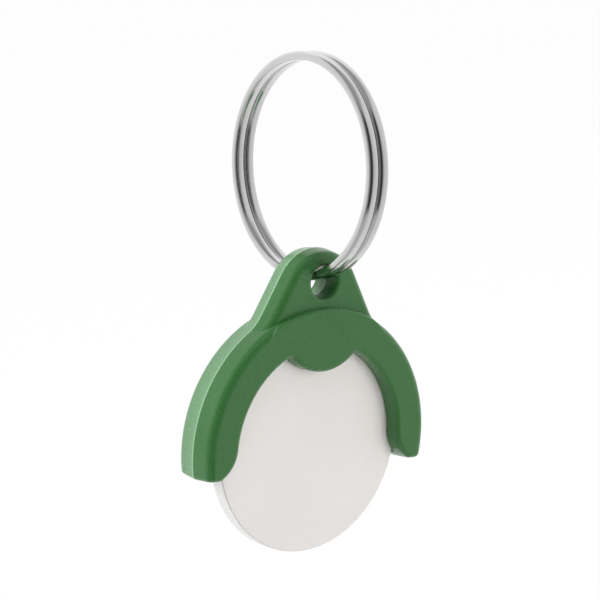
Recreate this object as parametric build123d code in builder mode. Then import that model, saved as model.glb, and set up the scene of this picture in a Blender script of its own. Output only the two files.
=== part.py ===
from build123d import *
import os
from math import cos, pi, radians, sin, sqrt, tan

# A coin holder for a key ring: a moulded arch grips a shopping-trolley token,
# and its lug hangs on a two-turn split ring. Lengths are in millimetres.
# The origin is the highest point inside the split ring, where the keyring hangs.
# X runs across the holder, Y from its front to its back and Z up.

# token, the size of the coin that it stands in for
token_diameter = 23.25
token_thickness = 1.75
token_edge_round = 0.15

# split ring: one wire wound twice round, with its ends either side of the step between the turns
wire_diameter = 1.0
ring_mean_radius = 11.29
turn_gap = 0.50
ring_yaw_angle = -1.6
ring_lean_angle = 0.55
step_start_angle = 1.5
step_angle = 14.5
end_clear_angle = 3.0

# holder: an arch over the token's upper half, with two short legs
rim_width = 2.735
grip_width = 1.395
holder_thickness = 5.3
mould_draft_angle = 4.0
leg_drop = 2.76
leg_inner_corner = 3.8
leg_corner_rise = 0.7
leg_end_round = 0.5
face_round = 0.85
step_round = 0.25
step_fade_start_angle = 23.0
step_fade_end_angle = 35.0
window_round = 0.48
seat_clearance = 0.12
slot_clearance = 0.12

# tab: the small tongue over the token's face at the top of the window
tab_radius = 5.75
tab_reach = 2.8

# lug: the thinner plate above the arch that the ring passes through
lug_thickness = 3.85
lug_top_radius = 4.95
lug_top_wall = 1.69
lug_flank_angle = 29.4
lug_draft_angle = 7.5
lug_root_blend = 6.0
lug_root_sink = 0.05
lug_face_round = 0.8
ring_clearance = 0.4
hole_rise = 2.5
hole_rim_round = 0.3

# where the holder lies on the ring: how far forward of the ring's lowest point, as a share of half
# the lug's thickness, and how far below it, as a share of the wire's play in the hole
forward_share = 0.945
below_share = 0.205
# how high above the token's centre the lug's plate starts inside the arch, as a share of the wall radius
lug_foot_share = 0.5
# how far cutting shapes run past what they cut
overrun = 1.0
# the turns wound, and the points on each turn at which the wire's gap to itself is measured
turn_count = 2
turn_samples = 240

# sizes that follow from those above
token_radius = token_diameter / 2
wire_radius = wire_diameter / 2
turn_offset = (wire_diameter + turn_gap) / 2
pack_half_width = turn_offset + wire_radius
ring_inner_radius = ring_mean_radius - wire_radius
ring_low_z = -ring_inner_radius - ring_mean_radius

half_thickness = holder_thickness / 2
slot_half_width = token_thickness / 2 + slot_clearance
seat_radius = token_radius + seat_clearance
wall_radius = seat_radius + rim_width
window_radius = seat_radius - grip_width
hole_radius = pack_half_width + ring_clearance
hole_height = wall_radius + hole_rise
lug_height = hole_height + hole_radius + lug_top_wall
lug_half_thickness = lug_thickness / 2
lug_top_centre = lug_height - lug_top_radius

lean = radians(ring_lean_angle)
yaw = radians(ring_yaw_angle)
holder_x = ring_mean_radius * sin(lean)
holder_y = -forward_share * lug_half_thickness
token_z = ring_low_z - below_share * (hole_radius - wire_radius) - hole_height

# the holder's mid plane, seen from the front, with its origin at the token's centre
mid = Plane(origin=(holder_x, holder_y, token_z), x_dir=(1, 0, 0), z_dir=(0, -1, 0))
# the ring's mid plane: its local X runs to the back, its local Y up, and its normal is the ring's axis
ring_axis = (cos(yaw) * cos(lean), sin(yaw) * cos(lean), sin(lean))
ring_mid = Plane(origin=(0, 0, -ring_inner_radius), x_dir=(-sin(yaw), cos(yaw), 0), z_dir=ring_axis)


def on_ring(angle, side, radius=ring_mean_radius):
    """The point at an angle from the ring's lowest point towards the back, on one side of its mid plane."""
    turn = radians(angle)
    return ring_mid.from_local_coords(Vector(radius * sin(turn), -radius * cos(turn), side))


def along_ring(angle):
    """The way that the wire runs at that angle."""
    turn = radians(angle)
    return ring_mid.x_dir * cos(turn) + ring_mid.y_dir * sin(turn)


def is_crease(edge, part):
    """Whether the faces either side of an edge meet at a corner, outside the token's slot."""
    if abs((edge @ 0.5).Y - holder_y) < slot_half_width:
        return False
    a, b = [face.normal_at(edge @ 0.5) for face in part.faces() if edge in face.edges()]
    return a.get_angle(b) > 2 * mould_draft_angle


# token
with BuildPart() as token:
    with BuildSketch(mid):
        Circle(token_radius)
    extrude(amount=token_thickness / 2, both=True)
    fillet(token.edges().filter_by(GeomType.CIRCLE), token_edge_round)

# split ring: a turn on one side, a step across to the other side, and a second turn there
full_turn = 360
step_end_angle = step_start_angle + step_angle
first_end_angle = step_end_angle + end_clear_angle
last_end_angle = step_start_angle - end_clear_angle
# the step's two arcs meet where the wire crosses the mid plane, a little outside the mean radius
crossing_radius = sqrt(ring_mean_radius**2 + turn_offset**2)
turns = (
    (first_end_angle, step_start_angle + full_turn, turn_offset),
    (step_end_angle, last_end_angle + full_turn, -turn_offset),
)
wire_start = Plane(origin=on_ring(first_end_angle, turn_offset), z_dir=along_ring(first_end_angle))

with BuildPart() as split_ring:
    with BuildLine() as wire:
        for start, end, side in turns:
            quarter = (end - start) / 4
            ThreePointArc([on_ring(start + i * quarter, side) for i in (0, 1, 2)])
            ThreePointArc([on_ring(start + i * quarter, side) for i in (2, 3, 4)])
        crossing = on_ring(step_start_angle + step_angle / 2, 0, crossing_radius)
        climb = TangentArc(
            on_ring(step_start_angle, turn_offset), crossing, tangent=along_ring(step_start_angle)
        )
        TangentArc(crossing, on_ring(step_end_angle, -turn_offset), tangent=climb % 1)
    with BuildSketch(wire_start):
        Circle(wire_radius)
    sweep(path=wire.wire())

wire_length = wire.wire().length
wire_samples = turn_count * turn_samples
wire_points = [wire.wire() @ (i / wire_samples) for i in range(wire_samples + 1)]
half_turn_samples = turn_samples // 2
least_gap = min(
    (a - b).length - wire_diameter
    for i, a in enumerate(wire_points)
    for b in wire_points[i + half_turn_samples :]
)
print(f"split ring: wire {wire_length:.1f} mm long, least gap between its turns {least_gap:.3f} mm")
wire_volume = pi * wire_radius**2 * wire_length
print(f"split ring: its volume over the wire's own volume {split_ring.part.volume / wire_volume:.4f}")

# lug plate: a rounded top with straight flanks that spread into the arch's outline
flank = radians(lug_flank_angle)
flank_x = lug_top_radius * cos(flank)
flank_y = lug_top_centre + lug_top_radius * sin(flank)
foot_y = lug_foot_share * wall_radius
foot_x = flank_x + (flank_y - foot_y) * tan(flank)

with BuildPart() as lug:
    with BuildSketch(mid) as lug_outline:
        Circle(wall_radius - lug_root_sink)
        with BuildLine():
            Polyline(
                (-foot_x, foot_y), (foot_x, foot_y), (flank_x, flank_y), (-flank_x, flank_y), close=True
            )
        make_face()
        with Locations((0, lug_top_centre)):
            Circle(lug_top_radius)
        roots = lug_outline.vertices().filter_by(lambda v: foot_y < v.Y < flank_y)
        fillet(roots, lug_root_blend)
    extrude(amount=lug_half_thickness, taper=lug_draft_angle)
    fillet(lug.edges().group_by(Axis.Y)[0], lug_face_round)
    split(bisect_by=Plane(origin=(0, 0, token_z + foot_y)), keep=Keep.TOP)

# crown: over the lug the arch's front edge is crisp, and a round cut fades it into the softer edge
fade_start = radians(step_fade_start_angle)
fade_end = radians(step_fade_end_angle)
fade_end_radius = wall_radius - face_round
crown_centre = (wall_radius**2 - fade_end_radius**2) / (
    2 * (wall_radius * cos(fade_start) - fade_end_radius * cos(fade_end))
)
crown_radius = sqrt(wall_radius**2 - 2 * wall_radius * crown_centre * cos(fade_start) + crown_centre**2)

with BuildPart() as crown:
    with BuildSketch(mid):
        Circle(wall_radius)
    extrude(amount=half_thickness, taper=mould_draft_angle)
    fillet(crown.edges().group_by(Axis.Y)[0], step_round)
    with BuildSketch(mid):
        with Locations((0, crown_centre)):
            Circle(crown_radius)
        Circle(seat_radius, mode=Mode.SUBTRACT)
    extrude(amount=half_thickness, mode=Mode.INTERSECT)
    split(bisect_by=Plane(origin=(0, 0, token_z + foot_y)), keep=Keep.TOP)

# window: the opening between the legs, with the tab left in its top and its lower corners flared
window_flare_reach = window_radius + leg_inner_corner
window_flare_x = sqrt(window_flare_reach**2 - leg_corner_rise**2)
window_flare_top = window_radius * leg_corner_rise / window_flare_reach
window_flare_height = window_flare_top + leg_drop + overrun

with BuildPart() as window:
    with BuildSketch(mid):
        Circle(window_radius)
        with Locations((0, window_flare_top)):
            Rectangle(2 * window_flare_x, window_flare_height, align=(Align.CENTER, Align.MAX))
        with Locations((-window_flare_x, leg_corner_rise), (window_flare_x, leg_corner_rise)):
            Circle(leg_inner_corner, mode=Mode.SUBTRACT)
        with Locations((0, window_radius - tab_reach + tab_radius)):
            Circle(tab_radius, mode=Mode.SUBTRACT)
    extrude(amount=half_thickness + overrun, taper=-mould_draft_angle)

# slot: the token's seat in the middle of the arch, open below so that the token slides out
with BuildPart() as slot:
    with BuildSketch(mid):
        Circle(seat_radius)
        Rectangle(2 * seat_radius, leg_drop + overrun, align=(Align.CENTER, Align.MAX))
    extrude(amount=slot_half_width, both=True)

# holder
with BuildPart() as holder:
    with BuildSketch(mid):
        Circle(wall_radius)
        with Locations((0, -leg_drop)):
            Rectangle(2 * wall_radius, wall_radius, align=(Align.CENTER, Align.MAX), mode=Mode.SUBTRACT)
    extrude(amount=half_thickness, taper=mould_draft_angle)
    fillet(holder.edges().group_by(Axis.Y)[0].sort_by(SortBy.LENGTH)[-1], face_round)
    leg_ends = holder.edges().filter_by(lambda edge: (edge @ 0.5).Z < token_z)
    fillet(leg_ends - leg_ends.group_by(Axis.Y)[-1], leg_end_round)
    add(lug.part)
    add(window.part, mode=Mode.SUBTRACT)
    rims = holder.edges(Select.LAST).filter_by(lambda edge: is_crease(edge, holder.part))
    fillet(rims, window_round)
    with BuildSketch(mid):
        with Locations((0, hole_height)):
            Circle(hole_radius)
    extrude(amount=half_thickness, taper=-mould_draft_angle, mode=Mode.SUBTRACT)
    fillet(holder.edges(Select.LAST).group_by(Axis.Y)[0], hole_rim_round)
    mirror(about=mid)
    add(crown.part)
    add(slot.part, mode=Mode.SUBTRACT)

os.makedirs("parts", exist_ok=True)
token.part.label = "token"
export_step(token.part, "parts/token.step")
split_ring.part.label = "split_ring"
export_step(split_ring.part, "parts/split_ring.step")
holder.part.label = "holder"
export_step(holder.part, "parts/holder.step")
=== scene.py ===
"""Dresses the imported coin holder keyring: moulded green arch, pale token and nickel split ring."""
import math

import bmesh
import bpy
from mathutils import Matrix, Vector


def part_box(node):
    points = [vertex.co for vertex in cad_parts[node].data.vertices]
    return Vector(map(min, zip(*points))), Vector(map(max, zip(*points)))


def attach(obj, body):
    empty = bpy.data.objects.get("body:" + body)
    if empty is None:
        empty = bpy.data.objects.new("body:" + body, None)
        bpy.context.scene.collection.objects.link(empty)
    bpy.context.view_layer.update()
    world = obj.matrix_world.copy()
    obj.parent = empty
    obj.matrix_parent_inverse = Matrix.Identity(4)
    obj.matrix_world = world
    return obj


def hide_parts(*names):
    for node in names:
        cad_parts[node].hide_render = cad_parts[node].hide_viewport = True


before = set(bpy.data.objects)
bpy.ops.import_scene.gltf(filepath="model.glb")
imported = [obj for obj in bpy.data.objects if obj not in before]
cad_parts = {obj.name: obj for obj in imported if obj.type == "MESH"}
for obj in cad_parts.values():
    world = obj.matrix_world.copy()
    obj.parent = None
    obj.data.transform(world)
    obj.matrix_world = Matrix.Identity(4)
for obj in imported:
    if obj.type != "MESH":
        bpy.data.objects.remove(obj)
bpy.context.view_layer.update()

MM = 0.001
full_turn = 360

# ring: its centre, how it stands, and the angles of its step and of its ends, as in the part's source
ring_centre = Vector((0, 0, -10.79)) * MM
ring_yaw = math.radians(-1.6)
ring_lean = math.radians(0.55)
ring_mean_radius = 11.29 * MM
step_start = 1.5
step_angle = 14.5
end_clear = 3.0

# wire: flattened, with its turns all but touching, and with its cut ends rounded
wire_wide = 1.245 * MM
wire_thick = 0.96 * MM
wire_squareness = 2.8
turn_gap = 0.024 * MM
end_round = 0.12 * MM

# mesh of the ring: points round the wire, sections in each rounded end, and degrees from one section
# to the next, which are fewer at the step and for a margin either side of it
section_points = 64
end_sections = 5
section_every = 1.5
step_section_every = 0.5
step_margin = 2.0
# how many degrees ahead the wire's run is taken, and the least that is left before its last section
run_probe = 0.05
least_turn = 1e-6

# holder's mid plane, and the token's centre and radius
holder_low, holder_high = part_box("holder")
mid_y = (holder_low[1] + holder_high[1]) / 2
token_low, token_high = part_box("token")
token_centre = Vector([(a + b) / 2 for a, b in zip(token_low, token_high)])
token_radius = (token_high[0] - token_low[0]) / 2

# camera: where it stands and how it leans, its scale at the token's centre, and the pixel of that centre,
# with half a pixel between a pixel's corner and its middle
camera_azimuth = -39.6365
camera_elevation = 9.5857
camera_roll = 3.3083
camera_distance = 300.0847 * MM
camera_scale = 9.6333 / MM
aim_x = 303.5079
aim_y = 439.9658
image_size = 600
pixel_offset = 0.5
sensor = 36.0
clip_near = 0.01
clip_far = 20.0

# lamps: name, compass angle, elevation, size and power in watts
lamps = (
    ("key", 15, 14, (0.36, 0.30), 0.85),
    ("top", -30, 70, (0.30, 0.30), 0.7),
    ("left", -122, 20, (0.30, 0.30), 2.4),
    ("right", 95, 10, (0.30, 0.30), 1.5),
)
lamp_distance = 0.5
lamp_aim = Vector((0, 0, -0.025))

# studio screen seen in the metal: brightness by compass angle, dim in front and brightest behind
screen = (
    (-180, 1.15), (-150, 1.0), (-110, 0.75), (-90, 0.55), (-70, 0.33), (-50, 0.18), (-30, 0.07),
    (-10, 0.03), (5, 0.04), (15, 0.16), (25, 0.5), (40, 0.8), (90, 0.95), (180, 1.15),
)
overhead_level = 0.4
overhead_stops = ((0.70, 0), (0.90, 1))
below_level = 0.58
below_stops = ((0.48, 0), (0.66, 1))
even_level = 0.55

# floor: its depth below the token, its half width, its paint, and its share of plain white to the camera
floor_drop = 0.036
floor_half = 1.2
floor_paint = 0.9
floor_white_share = 0.97


# helpers
def node(tree, kind, **values):
    n = tree.nodes.new(kind)
    for key, value in values.items():
        setattr(n, key, value)
    return n


def link(tree, a, b):
    tree.links.new(a, b)


def new_material(name):
    material = bpy.data.materials.new(name)
    material.use_nodes = True
    tree = material.node_tree
    tree.nodes.clear()
    output = node(tree, "ShaderNodeOutputMaterial")
    shader = node(tree, "ShaderNodeBsdfPrincipled")
    link(tree, shader.outputs[0], output.inputs[0])
    return material, tree, shader


def object_coord(tree):
    return node(tree, "ShaderNodeTexCoord").outputs["Object"]


def split_axes(tree, vector):
    n = node(tree, "ShaderNodeSeparateXYZ")
    link(tree, vector, n.inputs[0])
    return n.outputs


def math_node(tree, op, a, b=None, c=None, clamp=False):
    n = node(tree, "ShaderNodeMath", operation=op, use_clamp=clamp)
    for i, v in enumerate((a, b, c)):
        if v is None:
            continue
        if isinstance(v, (int, float)):
            n.inputs[i].default_value = v
        else:
            link(tree, v, n.inputs[i])
    return n.outputs[0]


def vector_node(tree, op, a, b=(0, 0, 0), output="Vector"):
    n = node(tree, "ShaderNodeVectorMath", operation=op)
    link(tree, a, n.inputs[0])
    n.inputs[1].default_value = b
    return n.outputs[output]


def grey(level):
    return (level, level, level)


def srgb(*rgb):
    """The linear values of a colour written from 0 to 255."""
    shares = [c / 255 for c in rgb]
    return tuple(c / 12.92 if c <= 0.04045 else ((c + 0.055) / 1.055) ** 2.4 for c in shares)


def ramp(tree, value, stops, mode="EASE"):
    """The grey level that a value stands for, from pairs of value and level."""
    n = node(tree, "ShaderNodeValToRGB")
    n.color_ramp.interpolation = mode
    elements = n.color_ramp.elements
    while len(elements) > 1:
        elements.remove(elements[-1])
    (first_position, first_level), *others = stops
    elements[0].position = first_position
    elements[0].color = (*grey(first_level), 1)
    for position, level in others:
        elements.new(position).color = (*grey(level), 1)
    link(tree, value, n.inputs[0])
    return n.outputs[0]


def mix_colour(tree, share, a, b, mode="MIX"):
    n = node(tree, "ShaderNodeMix", data_type="RGBA", blend_type=mode)
    for i, v in ((0, share), (6, a), (7, b)):
        if isinstance(v, (int, float)):
            n.inputs[i].default_value = v
        elif isinstance(v, tuple):
            n.inputs[i].default_value = (*v, 1)
        else:
            link(tree, v, n.inputs[i])
    return n.outputs[2]


def noise(tree, vector, scale, detail, rough):
    n = node(tree, "ShaderNodeTexNoise")
    n.inputs["Scale"].default_value = scale
    n.inputs["Detail"].default_value = detail
    n.inputs["Roughness"].default_value = rough
    link(tree, vector, n.inputs["Vector"])
    return n.outputs[0]


def bump(tree, height, strength, distance, normal=None):
    n = node(tree, "ShaderNodeBump")
    n.inputs["Strength"].default_value = strength
    n.inputs["Distance"].default_value = distance
    link(tree, height, n.inputs["Height"])
    if normal is not None:
        link(tree, normal, n.inputs["Normal"])
    return n.outputs[0]


def add_object(name, data):
    obj = bpy.data.objects.new(name, data)
    bpy.context.scene.collection.objects.link(obj)
    return obj


# materials
def green_plastic():
    # half width and share of the painted highlight along the parting line
    parting_half_width = 0.12 * MM
    parting_highlight_share = 0.55
    # depth and share of the painted sheen on the rear half, behind the parting line
    painted_sheen_depth = 2.6 * MM
    painted_sheen_share = 0.28
    speck_share = 0.07
    material, tree, shader = new_material("moulded_green")
    coord = object_coord(tree)
    behind = math_node(tree, "SUBTRACT", split_axes(tree, coord)[1], mid_y)

    clouds = noise(tree, coord, scale=260, detail=3, rough=0.55)
    base = mix_colour(tree, clouds, srgb(40, 91, 41), srgb(46, 97, 46))
    specks = noise(tree, coord, scale=5200, detail=2, rough=0.6)
    base = mix_colour(tree, math_node(tree, "MULTIPLY", specks, speck_share), base, srgb(84, 134, 86))

    # behind the line where the mould's halves met, the plastic is painted paler, fading out towards the
    # back face: a painted sheen for the bright glancing light from behind, which shows most on the walls
    depth = math_node(tree, "DIVIDE", behind, painted_sheen_depth)
    painted_sheen = ramp(tree, depth, [(0.0, 0), (0.03, 1), (0.7, 0.75), (1.0, 0)], "LINEAR")
    base = mix_colour(tree, math_node(tree, "MULTIPLY", painted_sheen, painted_sheen_share), base, srgb(158, 196, 160))

    # the line itself is painted pale, a painted highlight along the ridge where the halves meet
    off = math_node(tree, "DIVIDE", math_node(tree, "ABSOLUTE", behind), parting_half_width)
    parting_highlight = ramp(tree, off, [(0.0, 1), (0.55, 0.8), (1.0, 0)])
    base = mix_colour(tree, math_node(tree, "MULTIPLY", parting_highlight, parting_highlight_share), base, srgb(160, 204, 162))
    link(tree, base, shader.inputs["Base Color"])

    scuffs = noise(tree, coord, scale=900, detail=4, rough=0.65)
    link(tree, ramp(tree, scuffs, [(0.3, 0.22), (0.7, 0.30)]), shader.inputs["Roughness"])
    shader.inputs["IOR"].default_value = 1.5
    shader.inputs["Sheen Weight"].default_value = 0.05
    shader.inputs["Sheen Roughness"].default_value = 0.4

    grain = noise(tree, coord, scale=7000, detail=2, rough=0.5)
    waves = noise(tree, coord, scale=420, detail=2, rough=0.5)
    normal = bump(tree, grain, strength=0.05, distance=0.02 * MM)
    normal = bump(tree, waves, strength=0.12, distance=0.06 * MM, normal=normal)
    link(tree, normal, shader.inputs["Normal"])
    return material


def satin_token():
    rim_depth = 0.16 * MM
    rim_fade = 0.1 * MM
    face_metal = 0.35
    rim_extra_metal = 0.3
    material, tree, shader = new_material("satin_token")
    coord = object_coord(tree)

    # the turned rim is more of a metal than the satin face
    flat = vector_node(tree, "MULTIPLY", vector_node(tree, "SUBTRACT", coord, token_centre), (1, 0, 1))
    radius = vector_node(tree, "LENGTH", flat, output="Value")
    inward = math_node(tree, "SUBTRACT", radius, token_radius - rim_depth)
    rim = math_node(tree, "DIVIDE", inward, rim_fade, clamp=True)

    clouds = noise(tree, coord, scale=180, detail=3, rough=0.5)
    base = mix_colour(tree, clouds, srgb(232, 228, 225), srgb(226, 222, 219))
    base = mix_colour(tree, rim, base, srgb(226, 225, 224))
    link(tree, base, shader.inputs["Base Color"])
    link(tree, math_node(tree, "MULTIPLY_ADD", rim, rim_extra_metal, face_metal), shader.inputs["Metallic"])

    fine = noise(tree, coord, scale=6000, detail=3, rough=0.6)
    link(tree, ramp(tree, fine, [(0.3, 0.44), (0.7, 0.56)]), shader.inputs["Roughness"])
    link(tree, bump(tree, fine, strength=0.10, distance=0.02 * MM), shader.inputs["Normal"])
    return material


def nickel_plate():
    lane_stretch = 0.4 * MM
    material, tree, shader = new_material("nickel_plate")
    coord = object_coord(tree)

    # fine lines drawn along the wire, in the wire's own coordinates
    place = vector_node(tree, "SUBTRACT", coord, ring_centre)
    along, a, b = [vector_node(tree, "DOT_PRODUCT", place, way, output="Value") for way in ring_frame()]
    squares = math_node(tree, "ADD", math_node(tree, "MULTIPLY", a, a), math_node(tree, "MULTIPLY", b, b))
    lane = node(tree, "ShaderNodeCombineXYZ")
    link(tree, along, lane.inputs[0])
    link(tree, math_node(tree, "SQRT", squares), lane.inputs[1])
    link(tree, math_node(tree, "MULTIPLY", math_node(tree, "ARCTAN2", a, b), lane_stretch), lane.inputs[2])
    drawn = noise(tree, lane.outputs[0], scale=9000, detail=3, rough=0.6)

    clouds = noise(tree, coord, scale=700, detail=3, rough=0.5)
    base = mix_colour(tree, clouds, srgb(216, 216, 216), srgb(207, 207, 206))
    link(tree, base, shader.inputs["Base Color"])
    shader.inputs["Metallic"].default_value = 1.0
    link(tree, ramp(tree, drawn, [(0.3, 0.09), (0.7, 0.16)]), shader.inputs["Roughness"])
    link(tree, bump(tree, drawn, strength=0.12, distance=0.01 * MM), shader.inputs["Normal"])
    return material


# split ring
def ring_frame():
    """The ring's axis, the way to its back, and its way up."""
    axis = Vector((
        math.cos(ring_yaw) * math.cos(ring_lean),
        math.sin(ring_yaw) * math.cos(ring_lean),
        math.sin(ring_lean),
    ))
    across = Vector((-math.sin(ring_yaw), math.cos(ring_yaw), 0))
    return axis, across, axis.cross(across)


def smooth_step(t):
    t = min(max(t, 0.0), 1.0)
    return t * t * (3 - 2 * t)


def wire_section():
    """A soft rectangle, radial by axial, counter-clockwise."""
    points = []
    for i in range(section_points):
        turn = 2 * math.pi * (i + 0.5) / section_points
        c, s = math.cos(turn), math.sin(turn)
        points.append((
            math.copysign(abs(c) ** (2 / wire_squareness), c) * wire_thick / 2,
            math.copysign(abs(s) ** (2 / wire_squareness), s) * wire_wide / 2,
        ))
    return points


def ring_angles():
    """The angles of the wire's sections, from its first end through the step to its last end."""
    step_end = step_start + step_angle
    fine_from = step_start + full_turn - step_margin
    fine_to = step_end + full_turn + step_margin
    finish = step_start - end_clear + 2 * full_turn
    angles = []
    angle = step_end + end_clear
    while angle < finish - least_turn:
        angles.append(angle)
        angle += step_section_every if fine_from < angle < fine_to else section_every
    return angles + [finish]


def wire_place(angle):
    """The middle of the wire at an angle, and the way out from the ring's centre there."""
    axis, across, up = ring_frame()
    offset = (wire_wide + turn_gap) / 2
    side = offset * (1 - 2 * smooth_step((angle - full_turn - step_start) / step_angle))
    turn = math.radians(angle)
    out = across * math.sin(turn) - up * math.cos(turn)
    return ring_centre + out * ring_mean_radius + axis * side, out


def rounded_end(middle, run, out, wide):
    """The sections of a cut end, drawn in along a quarter round that runs out past the end."""
    turns = [math.pi / 2 * (i + 1) / end_sections for i in range(end_sections)]
    return [
        (middle + run * (end_round * math.sin(turn)), out, wide, end_round * (1 - math.cos(turn)))
        for turn in turns
    ]


def wire_sections():
    """The wire's sections: middle, outward and sideways directions, and how far each is drawn in."""
    sections = []
    for angle in ring_angles():
        middle, out = wire_place(angle)
        beyond, _ = wire_place(angle + run_probe)
        run = (beyond - middle).normalized()
        out = (out - run * out.dot(run)).normalized()
        sections.append((middle, run, out, run.cross(out)))
    middle, run, out, wide = sections[0]
    first_end = rounded_end(middle, -run, out, wide)
    last_end = rounded_end(*sections[-1])
    return first_end[::-1] + [(middle, out, wide, 0.0) for middle, run, out, wide in sections] + last_end


def build_ring():
    bm = bmesh.new()
    outline = wire_section()
    loops = []
    for middle, out, wide, shrink in wire_sections():
        radial = 1 - shrink / (wire_thick / 2)
        axial = 1 - shrink / (wire_wide / 2)
        places = [middle + out * (x * radial) + wide * (y * axial) for x, y in outline]
        loops.append([bm.verts.new(place) for place in places])
    for one, two in zip(loops, loops[1:]):
        for i in range(section_points):
            j = (i + 1) % section_points
            bm.faces.new((one[i], one[j], two[j], two[i]))
    bm.faces.new(loops[0][::-1])
    bm.faces.new(loops[-1])
    bmesh.ops.recalc_face_normals(bm, faces=bm.faces[:])
    for face in bm.faces:
        face.smooth = len(face.verts) == 4
    mesh = bpy.data.meshes.new("split_ring_wire")
    bm.to_mesh(mesh)
    bm.free()
    mesh.materials.append(nickel_plate())
    return add_object("split_ring_wire", mesh)


# camera, lamps, world and floor
def toward(azimuth, elevation):
    """The way from the object to a compass angle and an elevation: 0 is in front of it, 90 to its right."""
    a, e = math.radians(azimuth), math.radians(elevation)
    return Vector((math.sin(a) * math.cos(e), -math.cos(a) * math.cos(e), math.sin(e)))


def add_camera():
    back = toward(camera_azimuth, camera_elevation)
    level_right = toward(camera_azimuth + 90, 0)
    level_up = back.cross(level_right)
    roll = math.radians(camera_roll)
    right = level_right * math.cos(roll) + level_up * math.sin(roll)
    up = level_up * math.cos(roll) - level_right * math.sin(roll)
    across = (aim_x - image_size / 2) / camera_scale
    above = (image_size / 2 - aim_y) / camera_scale
    eye = token_centre + back * camera_distance - right * across - up * above
    data = bpy.data.cameras.new("camera")
    data.sensor_width = sensor
    data.lens = camera_scale * camera_distance * sensor / image_size
    data.shift_x = -pixel_offset / image_size
    data.shift_y = pixel_offset / image_size
    data.clip_start = clip_near
    data.clip_end = clip_far
    camera = add_object("camera", data)
    camera.matrix_world = Matrix.Translation(eye) @ Matrix((right, up, back)).transposed().to_4x4()
    bpy.context.scene.camera = camera


def add_lamp(name, azimuth, elevation, size, power):
    data = bpy.data.lights.new(name, "AREA")
    data.shape = "RECTANGLE"
    data.size, data.size_y = size
    data.energy = power
    lamp = add_object(name, data)
    lamp.location = lamp_aim + toward(azimuth, elevation) * lamp_distance
    lamp.rotation_euler = (lamp_aim - lamp.location).to_track_quat("-Z", "Y").to_euler()
    lamp.visible_camera = False
    lamp.visible_glossy = False


def add_world():
    world = bpy.data.worlds.new("studio")
    bpy.context.scene.world = world
    world.use_nodes = True
    tree = world.node_tree
    tree.nodes.clear()
    path = node(tree, "ShaderNodeLightPath")
    way = split_axes(tree, node(tree, "ShaderNodeTexCoord").outputs["Generated"])

    # the screen, with an even level overhead and no less than the floor's glow from below
    compass = math_node(tree, "ARCTAN2", way[0], math_node(tree, "MULTIPLY", way[1], -1))
    compass = math_node(tree, "MULTIPLY_ADD", compass, 0.5 / math.pi, 0.5)
    level = ramp(tree, compass, [(0.5 + angle / full_turn, v) for angle, v in screen], "LINEAR")
    overhead = ramp(tree, way[2], overhead_stops)
    level = mix_colour(tree, overhead, level, grey(overhead_level))
    below = ramp(tree, math_node(tree, "MULTIPLY", way[2], -1), below_stops)
    glow = mix_colour(tree, 1.0, level, grey(below_level), "LIGHTEN")
    level = mix_colour(tree, below, level, glow)

    # rays that aren't reflections meet an even level, and the camera sees plain white
    level = mix_colour(tree, path.outputs["Is Glossy Ray"], grey(even_level), level)
    shade = node(tree, "ShaderNodeBackground")
    link(tree, level, shade.inputs[0])
    white = node(tree, "ShaderNodeBackground")
    white.inputs[0].default_value = (1, 1, 1, 1)
    mix = node(tree, "ShaderNodeMixShader")
    link(tree, path.outputs["Is Camera Ray"], mix.inputs[0])
    link(tree, shade.outputs[0], mix.inputs[1])
    link(tree, white.outputs[0], mix.inputs[2])
    output = node(tree, "ShaderNodeOutputWorld")
    link(tree, mix.outputs[0], output.inputs[0])


def pale_floor():
    material, tree, shader = new_material("floor_pale")
    shader.inputs["Base Color"].default_value = (*grey(floor_paint), 1)
    shader.inputs["Roughness"].default_value = 0.9
    seen = node(tree, "ShaderNodeLightPath").outputs["Is Camera Ray"]
    white = node(tree, "ShaderNodeEmission")
    blend = node(tree, "ShaderNodeMixShader")
    link(tree, math_node(tree, "MULTIPLY", seen, floor_white_share), blend.inputs[0])
    link(tree, shader.outputs[0], blend.inputs[1])
    link(tree, white.outputs[0], blend.inputs[2])
    output = next(n for n in tree.nodes if n.type == "OUTPUT_MATERIAL")
    link(tree, blend.outputs[0], output.inputs[0])
    return material


def add_floor():
    sides = ((-1, -1), (1, -1), (1, 1), (-1, 1))
    corners = [(x * floor_half, y * floor_half, 0) for x, y in sides]
    mesh = bpy.data.meshes.new("floor")
    mesh.from_pydata(corners, [], [range(len(corners))])
    mesh.materials.append(pale_floor())
    floor = add_object("floor", mesh)
    floor.location = (0, 0, token_low[2] - floor_drop)
    floor.visible_glossy = False
    return floor


# the ring is shown by its fuller form, and the other two pieces are the part's own solids
ring = build_ring()
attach(ring, "split_ring")
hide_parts("split_ring")

for name, material in (("holder", green_plastic()), ("token", satin_token())):
    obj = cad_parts[name]
    for slot in obj.material_slots:
        slot.material = material
    if not obj.material_slots:
        obj.data.materials.append(material)

add_camera()
for lamp in lamps:
    add_lamp(*lamp)
add_world()
floor = add_floor()
bpy.context.scene.view_settings.view_transform = "Standard"
